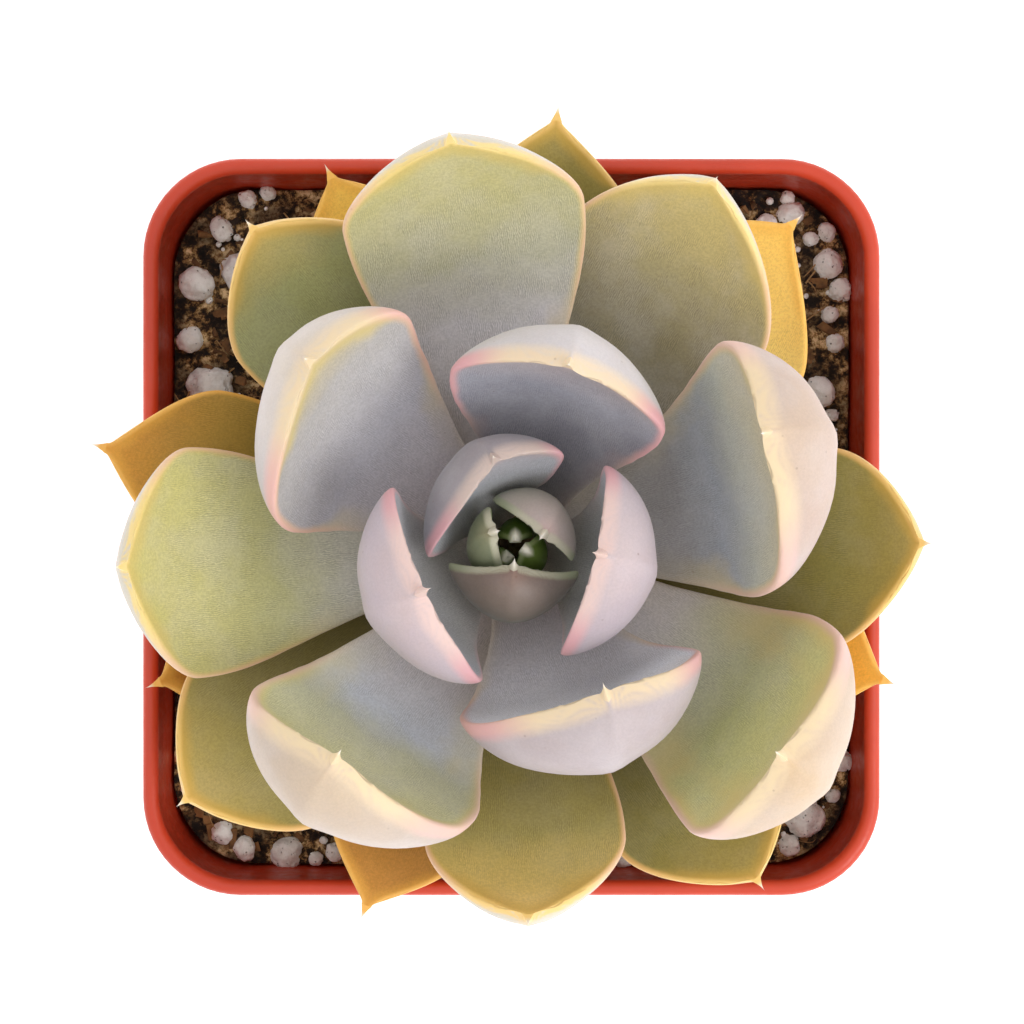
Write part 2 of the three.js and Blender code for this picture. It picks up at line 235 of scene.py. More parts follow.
# The outline of the pot's wall, from the middle of its floor over the rim to the underside
def potProfile():
    s = potShape
    half, r, top = s["width"] / 2, s["rimRound"], s["height"]
    bandBottom = top - s["band"]
    floorHalf = wallHalf(s["floor"]) - s["wall"]
    profile = [(floorHalf - s["floorRing"], s["floor"]), (floorHalf - s["floorRound"], s["floor"]),
               (floorHalf, s["floor"] + s["floorRound"])]
    for z in s["insideHeights"] + (top - s["rimDepth"],):
        profile.append((wallHalf(z) - s["wall"], z))
    for step in range(s["rimSteps"] + 1):  # the rolled rim, from its inner side over the top
        angle = math.pi * (1 - step / s["rimSteps"])
        profile.append((half - r + r * math.cos(angle), top - r + r * math.sin(angle)))
    for drop in s["bandDrops"]:
        profile.append((half - s["bandFlare"] * drop / s["band"], top - drop))
    (rise, onward), (drop, outward) = s["bandUnder"]
    profile.append((half - s["bandFlare"] + onward, bandBottom + rise))
    profile.append((wallHalf(bandBottom) + outward, bandBottom + drop))
    for z in s["outsideHeights"]:
        profile.append((wallHalf(z), z))
    for step in range(s["footSteps"] + 1):
        angle = math.pi / 2 * step / s["footSteps"]
        inset = s["footBevel"] * (1 - math.cos(angle))
        profile.append((wallHalf(0) - inset, s["footBevel"] * (1 - math.sin(angle))))
    profile.append((wallHalf(0) - s["footRing"], 0))
    return profile


def makePot():
    s = potShape
    bm = bmesh.new()
    inner, outer = squareLoft(bm, potProfile(), cornerAt)
    bmesh.ops.edgeloop_fill(bm, edges=inner)
    bmesh.ops.edgeloop_fill(bm, edges=outer)
    bmesh.ops.recalc_face_normals(bm, faces=bm.faces[:])
    pot = newObject("finePot", bm, potPlastic())
    holes = bmesh.new()
    for x in (-1, 1):
        for y in (-1, 1):
            middle = Vector((x * s["holeOffset"], y * s["holeOffset"], s["floor"] / 2)) * mm
            bmesh.ops.create_cone(holes, cap_ends=True, segments=s["holeSides"], radius1=s["holeRadius"] * mm,
                                  radius2=s["holeRadius"] * mm, depth=3 * s["floor"] * mm,
                                  matrix=Matrix.Translation(middle))
    drill = bpy.data.objects.new("drill", bpy.data.meshes.new("drill"))
    holes.to_mesh(drill.data)
    holes.free()
    scene.collection.objects.link(drill)
    cut = pot.modifiers.new("holes", "BOOLEAN")
    cut.operation = "DIFFERENCE"
    cut.solver = "EXACT"
    cut.object = drill
    bakeModifiers(pot)
    bpy.data.objects.remove(drill)
    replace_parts(pot, "pot")


def bakeModifiers(piece):
    graph = bpy.context.evaluated_depsgraph_get()
    done = bpy.data.meshes.new_from_object(piece.evaluated_get(graph))
    old = piece.data
    piece.modifiers.clear()
    piece.data = done
    bpy.data.meshes.remove(old)


# Scales are in cells to a metre; a pair or a quartet is a range
potLook = {
    "body": (206, 66, 36), "deep": (176, 50, 26), "cloud": 60, "cloudRange": (0.3, 0.7, 0.0, 0.5),
    "dust": (206, 160, 140), "dustHeights": (0.0615, 0.052, 0.0, 0.3), "dustScale": 420,
    "dustRange": (0.56, 0.72), "satin": 900, "satinRange": (0.35, 0.65, 0.32, 0.5), "grain": 1400,
    "grainBump": (0.12, 0.0001), "soften": (0.12, (0.8, 0.2, 0.1), 0.001),
}


def potPlastic():
    p = potLook
    board = Board("redPotPlastic")
    where = board.where
    cloud = board.span(board.noise(where, p["cloud"], 4, 0.55), *p["cloudRange"])
    base = board.blend(cloud, paint(*p["body"]), paint(*p["deep"]))
    low = board.span(board.fill("SeparateXYZ", Vector=where).outputs["Z"], *p["dustHeights"])
    spots = board.span(board.noise(where, p["dustScale"], 5, 0.7), *p["dustRange"])
    board.colour(board.blend(board.times(spots, low), base, paint(*p["dust"])))
    rough = board.span(board.noise(where, p["satin"], 3, 0.6), *p["satinRange"])
    board.plug(board.shader.inputs["Roughness"], rough)
    board.soften(*p["soften"])
    board.bump(board.noise(where, p["grain"], 3, 0.6), *p["grainBump"])
    return board.material


# The soil: the same lumps as the solid's, with crumbs in them
soilShape = {
    "top": 53.2, "lump": 0.45, "gap": 0.3, "footBevel": 1.5, "cells": 230, "crumb": 0.55,
    "stemX": 0.35, "stemY": -1.8, "stemClear": 4.75, "stemBottom": 39.7, "cornerRound": 7,
}
soilLook = {
    "crumb": 700, "patch": 260, "patchRange": (0.4, 0.6, 0.0, 0.75), "patchColour": (22, 13, 8),
    "grain": 2200, "grainBump": (0.7, 0.0004),
    "stops": [(0.4, 14, 8, 4), (0.48, 62, 42, 22), (0.54, 168, 130, 80), (0.62, 244, 214, 164)],
}
bitsShape = {
    "seed": 5, "inset": 1.2, "fromStem": 1.5, "tilt": 0.35, "chips": 900,
    "chipSizes": ((0.5, 2.0), (0.3, 0.9), (0.15, 0.45)), "chipLift": 0.06, "chipRough": (0.1, 0.1, 0.05),
    "fibres": 340, "fibreLength": (1.2, 4.2), "fibreThick": (0.05, 0.11), "fibreLift": 0.22,
    "fibreTaper": 0.5, "longEdge": 0.6, "cuts": 3, "bow": 0.22, "arch": (0.0, 0.25),
    "chipColours": ((44, 28, 16), (150, 108, 64)), "fibreColours": ((112, 78, 46), (196, 158, 108)),
    "fleck": 260, "fleckStops": (0.35, 0.65), "grain": 3000, "grainBump": (0.5, 0.0002),
}
# The perlite: the solid's own grains, more where the soil lies open, and fines
grainShape = {
    "count": 72, "tries": 6000, "smallest": 0.75, "largest": 2.35, "sizeSpread": 1.5, "spacing": 1.04,
    "band": 10.0, "wallward": 1.3, "flatness": 0.84, "seed": 5850, "ownDraws": 13, "subdivisions": 4,
    "fines": 420, "fineInset": 0.8, "fineFrom": 17, "fineSizes": (0.12, 0.42), "fineLift": 0.3,
    "fineSubdivisions": 2, "apart": 0.75, "shift": 9, "stretch": (0.88, 1.1), "lumpy": 0.16,
    "lumps": (1.5, 3.4), "pits": 0.21, "pitScale": 7.5, "pitFrom": 0.15,
    "strewn": [
        (-25.8, 31.4, 1.2), (-23.6, 32.3, 0.8), (-27.4, 28.5, 1.6), (-30.4, 23.4, 1.8),
        (-27.0, 24.4, 1.5), (-29.9, 18.8, 1.6), (-29.4, 13.9, 1.6), (-25.8, 11.5, 0.8),
        (26.7, 31.8, 0.8), (27.0, 30.3, 1.3), (24.6, 29.2, 1.0), (28.5, 27.3, 1.0),
        (30.5, 28.5, 0.9), (31.0, 25.5, 1.5), (31.8, 22.9, 1.1), (29.8, 20.0, 1.5),
        (28.4, 16.6, 1.5), (27.9, 13.4, 1.6), (31.9, 18.1, 0.7), (31.0, 10.8, 0.7),
        (-27.9, -29.6, 1.2), (-24.8, -31.1, 1.3), (-21.8, -31.6, 1.5), (-18.9, -32.1, 0.7),
        (-17.1, -31.5, 0.9), (31.9, -22.6, 1.2), (31.7, -26.0, 1.6), (27.7, -28.2, 1.6),
        (29.9, -29.9, 1.5), (26.9, -30.8, 1.1), (10.7, -31.8, 1.3), (12.9, -32.0, 0.7),
    ],
}
grainLook = {
    "cloud": 700, "cloudRange": (0.32, 0.62), "shaded": (228, 226, 222), "white": (255, 255, 252),
    "pores": 1900, "poreRange": (0.10, 0.24), "poreZones": 1000, "zoneRange": (0.42, 0.54),
    "poreColour": (84, 76, 70), "poreShare": 0.85, "rough": 1500, "poreDepth": 0.6, "bump": (0.6, 0.0003),
}


def lump(x, y):
    coarse = math.sin(0.42 * x + 1.3) * math.cos(0.37 * y - 0.6)
    fine = math.sin(0.63 * x - 0.41 * y) + math.cos(0.53 * y + 0.38 * x)
    return soilShape["lump"] * (coarse + 0.5 * fine)


def soilHalf(z):
    return wallHalf(z) - potShape["wall"] - soilShape["gap"]


def crumbs(x, y):
    a = noise.noise(Vector((0.55 * x, 0.55 * y, 3.1)))
    b = noise.noise(Vector((1.5 * x, 1.5 * y, 7.7)))
    c = abs(noise.noise(Vector((3.1 * x, 3.1 * y, 1.3))))
    return soilShape["crumb"] * (0.55 * a + 0.5 * b - 0.55 * c)


# Whether a place lies beyond the rounded corner of a square
def pastCorner(x, y, half, corner):
    return math.hypot(max(0, abs(x) - half + corner), max(0, abs(y) - half + corner)) > corner


# How much of the full square's reach is left in the direction of a corner
def roundedReach(x, y, corner):
    m = max(abs(x), abs(y))
    if m < 1e-9:
        return 1.0
    dx, dy = abs(x) / m, abs(y) / m
    c = 1 - corner
    if dx <= c or dy <= c:
        return 1.0
    a = dx * dx + dy * dy
    b = -2 * c * (dx + dy)
    d = 2 * c * c - corner * corner
    return (-b + math.sqrt(b * b - 4 * a * d)) / (2 * a)


def makeSoil():
    s = soilShape
    half = soilHalf(s["top"])
    corner = cornerAt(half + potShape["wall"] + s["gap"])
    bm = bmesh.new()
    bmesh.ops.create_grid(bm, x_segments=s["cells"], y_segments=s["cells"], size=1.0)
    for v in bm.verts:
        reach = roundedReach(v.co.x, v.co.y, corner / half)
        x, y = v.co.x * reach * half, v.co.y * reach * half
        z = s["top"] + lump(x, y) + crumbs(x, y)
        if math.hypot(x - s["stemX"], y - s["stemY"]) < s["stemClear"]:
            z = s["stemBottom"]
        v.co = Vector((x, y, z)) * mm
    rim = [e for e in bm.edges if e.is_boundary]
    foot = potShape["floor"] + s["gap"]
    for z, inset in ((foot + s["footBevel"], 0.0), (foot, s["footBevel"])):
        made = bmesh.ops.extrude_edge_only(bm, edges=rim)["geom"]
        share = (soilHalf(z) - inset) / half
        for v in made:
            if isinstance(v, bmesh.types.BMVert):
                v.co = Vector((v.co.x * share, v.co.y * share, z * mm))
        half = soilHalf(z) - inset
        rim = [e for e in made if isinstance(e, bmesh.types.BMEdge) and e.is_boundary]
    bmesh.ops.edgeloop_fill(bm, edges=rim)
    bmesh.ops.recalc_face_normals(bm, faces=bm.faces[:])
    soil = newObject("fineSoil", bm, soilMix())
    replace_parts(soil, "soil")


def soilMix():
    s = soilLook
    board = Board("darkPottingMix", 0.92)
    where = board.where
    base = board.ramp(board.noise(where, s["crumb"], 6, 0.75), s["stops"])
    patch = board.span(board.noise(where, s["patch"], 3, 0.5), *s["patchRange"])
    board.colour(board.blend(patch, base, paint(*s["patchColour"])))
    board.bump(board.noise(where, s["grain"], 5, 0.75), *s["grainBump"])
    return board.material


def addChip(bm, draw, spot, turn):
    s = bitsShape
    size = Vector([draw.uniform(*sizes) for sizes in s["chipSizes"]]) * mm
    middle = spot + Vector((0, 0, s["chipLift"]))
    place = Matrix.Translation(middle * mm) @ turn @ Matrix.Diagonal(size.to_4d())
    for v in bmesh.ops.create_cube(bm, size=1.0, matrix=place)["verts"]:
        v.co += Vector([draw.gauss(0, rough) for rough in s["chipRough"]]) * mm


def addFibre(bm, draw, spot, turn):
    s = bitsShape
    length, thick = draw.uniform(*s["fibreLength"]), draw.uniform(*s["fibreThick"])
    middle = (spot + Vector((0, 0, s["fibreLift"]))) * mm
    place = Matrix.Translation(middle) @ turn @ Matrix.Rotation(math.pi / 2, 4, "Y")
    made = bmesh.ops.create_cone(bm, cap_ends=True, segments=4, radius1=thick * mm, depth=length * mm,
                                 radius2=s["fibreTaper"] * thick * mm, matrix=place)["verts"]
    edges = {e for v in made for e in v.link_edges if e.calc_length() > s["longEdge"] * length * mm}
    cut = bmesh.ops.subdivide_edges(bm, edges=list(edges), cuts=s["cuts"])["geom_inner"]
    bow = draw.gauss(0, s["bow"]) * length
    lift = draw.uniform(*s["arch"])
    for v in cut:
        if isinstance(v, bmesh.types.BMVert):
            away = 1 - min(1.0, ((v.co - middle).length / (0.5 * length * mm)) ** 2)
            v.co += Vector((bow * math.sin(length), bow * math.cos(length), lift)) * away * mm


# Bark chips and fibres that lie in the soil's surface
def makeSoilBits():
    s, ground = bitsShape, soilShape
    draw = random.Random(s["seed"])
    half = soilHalf(ground["top"]) - s["inset"]
    kinds = (("barkChips", s["chips"], addChip, s["chipColours"]),
             ("coirFibres", s["fibres"], addFibre, s["fibreColours"]))
    for kind, count, add, colours in kinds:
        bm = bmesh.new()
        for _ in range(count):
            x, y = draw.uniform(-half, half), draw.uniform(-half, half)
            fromStem = math.hypot(x - ground["stemX"], y - ground["stemY"])
            nearStem = fromStem < ground["stemClear"] + s["fromStem"]
            if nearStem or pastCorner(x, y, half, ground["cornerRound"]):
                continue
            heading = Matrix.Rotation(draw.uniform(0, math.tau), 4, "Z")
            turn = heading @ Matrix.Rotation(draw.gauss(0, s["tilt"]), 4, "Y")
            add(bm, draw, Vector((x, y, ground["top"] + lump(x, y) + crumbs(x, y))), turn)
        bmesh.ops.recalc_face_normals(bm, faces=bm.faces[:])
        stops = [(place, *colour) for place, colour in zip(s["fleckStops"], colours)]
        board = Board(kind, 0.85)
        where = board.where
        board.colour(board.ramp(board.noise(where, s["fleck"], 4, 0.7), stops))
        board.bump(board.noise(where, s["grain"], 3, 0.6), *s["grainBump"])
        bits = newObject(kind, bm, board.material)
        for face in bits.data.polygons:
            face.use_smooth = False


# The solid's own draws, so that each grain lies where the solid has it
def seededDraws(start):
    state = start
    while True:
        state = (state * 16807) % 2147483647
        yield state / 2147483647


def grainSpots():
    g = grainShape
    draws = seededDraws(g["seed"])
    placed = []
    tries = 0
    while len(placed) < g["count"] and tries < g["tries"]:
        tries += 1
        size = mix(g["smallest"], g["largest"], next(draws) ** g["sizeSpread"])
        reach = soilHalf(soilShape["top"]) - size
        along = reach * (2 * next(draws) - 1)
        out = reach - g["band"] * next(draws) ** g["wallward"]
        wall = math.floor(4 * next(draws))
        sign = 1 if wall % 2 == 0 else -1
        x, y = (sign * out, along) if wall < 2 else (along, sign * out)
        corner = cornerAt(soilHalf(soilShape["top"])) - size
        if pastCorner(x, y, reach, corner):
            continue
        if all(math.hypot(o[0] - x, o[1] - y) > g["spacing"] * (o[2] + size) for o in placed):
            placed.append((x, y, size))
            for _ in range(g["ownDraws"]):  # the solid uses these for each grain's own shape
                next(draws)
    return placed


def makePerlite():
    g = grainShape
    draw = random.Random(g["seed"])
    bm = bmesh.new()
    spots = []
    half = soilHalf(soilShape["top"]) - g["fineInset"]
    for _ in range(g["fines"]):
        x, y = draw.uniform(-half, half), draw.uniform(-half, half)
        if not pastCorner(x, y, half, soilShape["cornerRound"]) and max(abs(x), abs(y)) > g["fineFrom"]:
            spots.append((x, y, draw.uniform(*g["fineSizes"]), True))
    solidSpots = grainSpots()
    spots += [(x, y, size, False) for x, y, size in solidSpots]
    for x, y, size in g["strewn"]:
        if all(math.hypot(x - o[0], y - o[1]) > g["apart"] * (size + o[2]) for o in solidSpots):
            spots.append((x, y, size, False))
    for x, y, size, fine in spots:
        level = g["fineSubdivisions"] if fine else g["subdivisions"]
        made = bmesh.ops.create_icosphere(bm, subdivisions=level, radius=1.0)["verts"]
        shift = Vector([draw.uniform(-g["shift"], g["shift"]) for _ in range(3)])
        stretch = Vector((draw.uniform(*g["stretch"]), draw.uniform(*g["stretch"]), g["flatness"]))
        turn = Matrix.Rotation(draw.uniform(0, math.tau), 3, "Z")
        z = soilShape["top"] + lump(x, y) + (crumbs(x, y) + g["fineLift"] * size if fine else 0.0)
        large, small = g["lumps"]
        for v in made:
            way = v.co.normalized()
            bulge = noise.noise(large * way + shift) + 0.5 * noise.noise(small * way + shift)
            pit = noise.noise(g["pitScale"] * way * min(1.0, size) + shift)
            swell = 1 + g["lumpy"] * bulge - g["pits"] * max(0.0, pit - g["pitFrom"])
            v.co = (Vector((x, y, z)) + turn @ (way * swell * stretch) * size) * mm
    bmesh.ops.recalc_face_normals(bm, faces=bm.faces[:])
    newObject("perliteGrains", bm, whitePerlite())


def whitePerlite():
    g = grainLook
    board = Board("whitePerlite", 0.85)
    where = board.where
    cloud = board.span(board.noise(where, g["cloud"], 5, 0.65), *g["cloudRange"])
    base = board.blend(cloud, paint(*g["shaded"]), paint(*g["white"]))
    solid = board.span(board.voronoi(where, g["pores"]), *g["poreRange"])
    zone = board.span(board.noise(where, g["poreZones"], 2, 0.5), *g["zoneRange"])
    pore = board.times(board.maths("SUBTRACT", 1.0, solid), zone)
    board.colour(board.blend(board.times(pore, g["poreShare"]), base, paint(*g["poreColour"])))
    height = board.times(solid, g["poreDepth"])
    board.bump(board.plus(board.noise(where, g["rough"], 5, 0.7), height), *g["bump"])
    return board.material


# The stem: a short, ringed trunk under the leaves. profile: radius and height
stemShape = {
    "profile": [(3.0, 40), (4.2, 50), (4.4, 58), (4.2, 63), (3.5, 67), (2.4, 70.5), (1.3, 72.8), (0.3, 73.6)],
    "bottom": 40, "step": 0.6, "rings": 56, "top": 73.6, "crown": 73.59, "sides": 64, "inset": 0.12,
    "thinnest": 0.25, "rough": 0.12, "roughScale": (3, 3, 0.7), "scars": 0.1, "scarTurns": 4.2,
    "scarSlant": 1.4, "scarFull": 3, "cloud": 420, "grain": 1500, "grainBump": (0.5, 0.0003),
    "stops": [(0.3, 84, 66, 44), (0.5, 132, 112, 76), (0.72, 150, 148, 100)],
}


def stemRadius(z):
    profile = stemShape["profile"]
    for (low, below), (high, above) in zip(profile, profile[1:]):
        if below <= z < above:
            return mix(low, high, (z - below) / (above - below))
    return profile[-1][0]


def makeStem():
    s = stemShape
    bm = bmesh.new()
    verts = bmesh.ops.create_circle(bm, segments=s["sides"], radius=1.0, cap_ends=True)["verts"]
    edges = bm.edges[:]
    for n in range(s["rings"] + 1):
        z = s["bottom"] + s["step"] * n if n < s["rings"] else s["top"]
        if n:
            made = bmesh.ops.extrude_edge_only(bm, edges=edges)["geom"]
            verts = [v for v in made if isinstance(v, bmesh.types.BMVert)]
            edges = [e for e in made if isinstance(e, bmesh.types.BMEdge) and e.is_boundary]
        radius = stemRadius(min(z, s["crown"]))
        for v in verts:
            way = Vector((v.co.x, v.co.y, 0)).normalized()
            grain = s["rough"] * noise.noise(Vector((way.x, way.y, z)) * Vector(s["roughScale"]))
            scar = s["scars"] * math.sin(z * s["scarTurns"] + s["scarSlant"] * math.atan2(way.y, way.x))
            size = radius - s["inset"] + grain * min(1.0, radius) + scar * min(1.0, radius / s["scarFull"])
            v.co = Vector((way.x * max(s["thinnest"], size), way.y * max(s["thinnest"], size), z)) * mm
    bmesh.ops.translate(bm, vec=Vector((soilShape["stemX"], soilShape["stemY"], 0)) * mm, verts=bm.verts[:])
    bmesh.ops.edgeloop_fill(bm, edges=edges)
    bmesh.ops.recalc_face_normals(bm, faces=bm.faces[:])
    board = Board("greenBrownStem", 0.75)
    where = board.where
    board.colour(board.ramp(board.noise(where, s["cloud"], 5, 0.65), s["stops"]))
    board.bump(board.noise(where, s["grain"], 4, 0.7), *s["grainBump"])
    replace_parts(newObject("fineStem", bm, board.material), "stem")


# The leaves: one rule for all, in millimetres, degrees and shares of the leaf's length
leafRule = {
    "bladeShare": 0.875, "baseRounding": 0.04, "bendStart": 0.36, "bendSpan": 0.24, "hookStart": 0.72,
    "shiftStart": 0.6, "widestAt": 0.74, "thickestAt": 0.72, "neckWidth": 0.34, "footThickness": 0.42,
    "outlinePower": 1.8, "outlineClose": 0.8, "tipClose": 0.6, "bellyPower": 2.2, "bellyClose": 0.62,
    "usualCup": 0.16, "mucroRadius": 0.5, "mucroFlare": 1.8, "mucroNod": 0.4, "spineSteps": 64, "stand": 0.3,
    "segments": 72, "rings": 112, "small": 12, "smallSegments": 40, "smallRings": 56, "outlineSteps": 200,
    "cupGrowth": (0.05, 0.5), "edgeRound": 0.5, "edgeShare": 0.42, "edgeEnd": 0.96, "faceBlend": 0.5,
    "keel": 0.08, "keelWidth": 0.16, "keelGrowth": (0.55, 0.9),
    "wave": 0.16, "waveFull": 14, "waveScale": (0.22, 0.16), "uvSpan": 50,
}
# from the youngest to the oldest
leafColumns = ("turn", "foot", "length", "width", "thick", "rise", "lift", "hook", "tip")
leafRows = [
    ((230, 74.9, 5.4, 2, 0.8, 86, 4, 8, 0.4), dict(cup=0.2)),
    ((90, 74.0, 7.5, 3.1, 1.2, 80, 14, 30, 0.4), dict(cup=0.3)),
    ((324, 73.6, 9, 4.2, 1.4, 76, 20, 34, 0.5), dict(cup=0.3, shift=0.4)),
    ((192, 73, 12.5, 6.7, 1.7, 79, 14, 28, 1.2), dict(cup=0.34, shift=-1.8)),
    ((53, 72.6, 13.2, 8.8, 2.1, 72, 22, 30, 1.2), dict(cup=0.36, shift=-1.3)),
    ((266, 72, 14.8, 11.8, 2.5, 68, 34, 46, 1.1), dict(cup=0.4)),
    ((124.5, 71.4, 17.2, 14.5, 3.6, 70, 4, 8, 1.8), dict(cup=0.36, shift=-3)),
    ((347, 70.8, 21.6, 17.4, 4.7, 60, 28, 18, 2.8), dict(cup=0.24, shift=1.2)),
    ((205, 70.2, 23.2, 19.2, 4.8, 56, 28, 24, 3), dict(cup=0.23)),
    ((73.8, 69.2, 27.9, 20, 4.8, 49, 14, 28, 2), dict(cup=0.22)),
    ((287.5, 68.6, 28.6, 22.2, 6.0, 40, 38, 36, 2.4), dict(cup=0.18, lean=3.2, shift=0.6)),
    ((144.8, 68.1, 31.4, 21.4, 6.5, 33, 24, 13, 1.8), dict(lean=1, shift=-4)),
    ((13, 67.3, 36, 22.6, 7.0, 31, 34, 36, 1.8), dict(cup=0.1, lean=4, shift=1)),
    ((235.5, 66.4, 36.6, 22.8, 6.5, 26, 38, 48, 2), dict(cup=0.08, shift=-2.6)),
    ((323, 64.9, 41, 22.6, 6.3, 21, 38, 44, 2), dict(cup=0.06, lean=1.5, shift=-2, blunt=1)),
    ((98.3, 66, 39.3, 22.2, 4.8, 18, 20, 20, 2.2), dict(cup=0.12, lean=0.5, widest=0.78)),
    ((182.8, 64.1, 37, 21.2, 4.3, 16, 22, 22, 1.9), dict(cup=0.12, widest=0.78)),
    ((59.9, 63.2, 37.5, 22, 4.6, 15, 16, 20, 1.3), dict(cup=0.12, shift=1, widest=0.66)),
    ((272, 62.9, 34, 18.6, 4.6, 16, 18, 24, 1.3), dict(cup=0.12)),
    ((129.5, 62.6, 36, 17.8, 4.0, 14, 12, 10, 1.4), dict()),
    ((359, 61.9, 35.8, 18.8, 4.2, 14, 14, 12, 1.4), dict(shift=1)),
    ((217.5, 60.9, 36, 19.2, 3.8, 14, 10, 8, 1.4), dict()),
    ((83, 59.4, 36.8, 15.8, 3.4, 11, 8, 6, 1.6), dict(shift=1, blunt=1.1)),
    ((304.5, 60.4, 35.4, 17, 3.6, 12, 10, 8, 1.4), dict(shift=1)),
    ((165, 59.4, 36, 14.6, 3.2, 12, 6, 4, 1.6), dict(shift=1, blunt=1.1)),
    ((43.8, 58, 35.9, 17, 3.0, 10, 6, 4, 1.6), dict(shift=3.8, blunt=1.1)),
    ((247.5, 58.4, 32.8, 14, 2.8, 10, 6, 4, 1.6), dict(blunt=1.1)),
    ((116.5, 57.6, 35, 14, 2.8, 10, 6, 4, 1.6), dict(blunt=1)),
    ((340, 57, 33.2, 14.8, 2.8, 11, 6, 4, 1.6), dict(blunt=1.2)),
    ((201, 56.8, 32.2, 16, 2.6, 11, 6, 4, 1.6), dict(blunt=1.2)),
]
# cup, lean, shift, widest and blunt are there for the leaves that have them
leafShapes = [dict(zip(leafColumns, row), **own) for row, own in leafRows]


def slopeAt(leaf, s):
    r = leafRule
    lifted = smooth(s, r["bendStart"], r["bendStart"] + r["bendSpan"])
    return math.radians(leaf["rise"] + leaf["lift"] * lifted + leaf["hook"] * smooth(s, r["hookStart"], 1))


def spineOf(leaf):
    steps = leafRule["spineSteps"]
    points = [(0.0, 0.0)]
    for i in range(steps):
        slope = slopeAt(leaf, (i + 0.5) / steps)
        step = leaf["length"] / steps
        points.append((points[-1][0] + step * math.cos(slope), points[-1][1] + step * math.sin(slope)))
    return points


def halfWidthAt(leaf, s):
    r = leafRule
    widest = leaf.get("widest", r["widestAt"])
    full = leaf["width"] / 2
    if s < widest:
        return full * mix(r["neckWidth"], 1, math.sin(math.pi / 2 * s / widest) ** 2)
    past = (s - widest) / (1 - widest)
    return full * max(0.0, 1 - past ** r["outlinePower"]) ** leaf.get("blunt", r["outlineClose"])


def thicknessAt(leaf, s):
    r = leafRule
    if s < r["thickestAt"]:
        return leaf["thick"] * mix(r["footThickness"], 1, smooth(s, 0, r["thickestAt"]))
    past = (s - r["thickestAt"]) / (1 - r["thickestAt"])
    return leaf["thick"] * max(0.0, 1 - past ** 2) ** r["tipClose"]


# What all points of one ring round the leaf share
def ringOf(leaf, spine, polar):
    r = leafRule
    blade = min(1.0, polar / r["bladeShare"])
    s = (1 - math.cos(math.pi * blade)) / 2
    place = s * r["spineSteps"]
    n = min(int(place), r["spineSteps"] - 1)
    ring = {"s": s, "slope": slopeAt(leaf, s), "width": halfWidthAt(leaf, s)}
    ring["x"] = mix(spine[n][0], spine[n + 1][0], place - n)
    ring["z"] = mix(spine[n][1], spine[n + 1][1], place - n)
    rounding = math.sqrt(1 - (1 - s / r["baseRounding"]) ** 2) if s < r["baseRounding"] else 1.0
    ring["half"] = math.hypot(ring["width"], r["mucroRadius"]) * rounding
    ring["thick"] = math.hypot(thicknessAt(leaf, s), 2 * r["mucroRadius"]) * rounding
    ring["cup"] = leaf.get("cup", r["usualCup"]) * smooth(s, *r["cupGrowth"])
    ring["edge"] = min(r["edgeRound"], r["edgeShare"] * ring["thick"]) * (1 - smooth(s, r["edgeEnd"], 1.0))
    ring["sway"] = leaf.get("lean", 0.0) * s ** 2 + leaf.get("shift", 0.0) * smooth(s, r["shiftStart"], 1)
    ring["point"] = max(0.0, (polar - r["bladeShare"]) / (1 - r["bladeShare"]))
    return ring


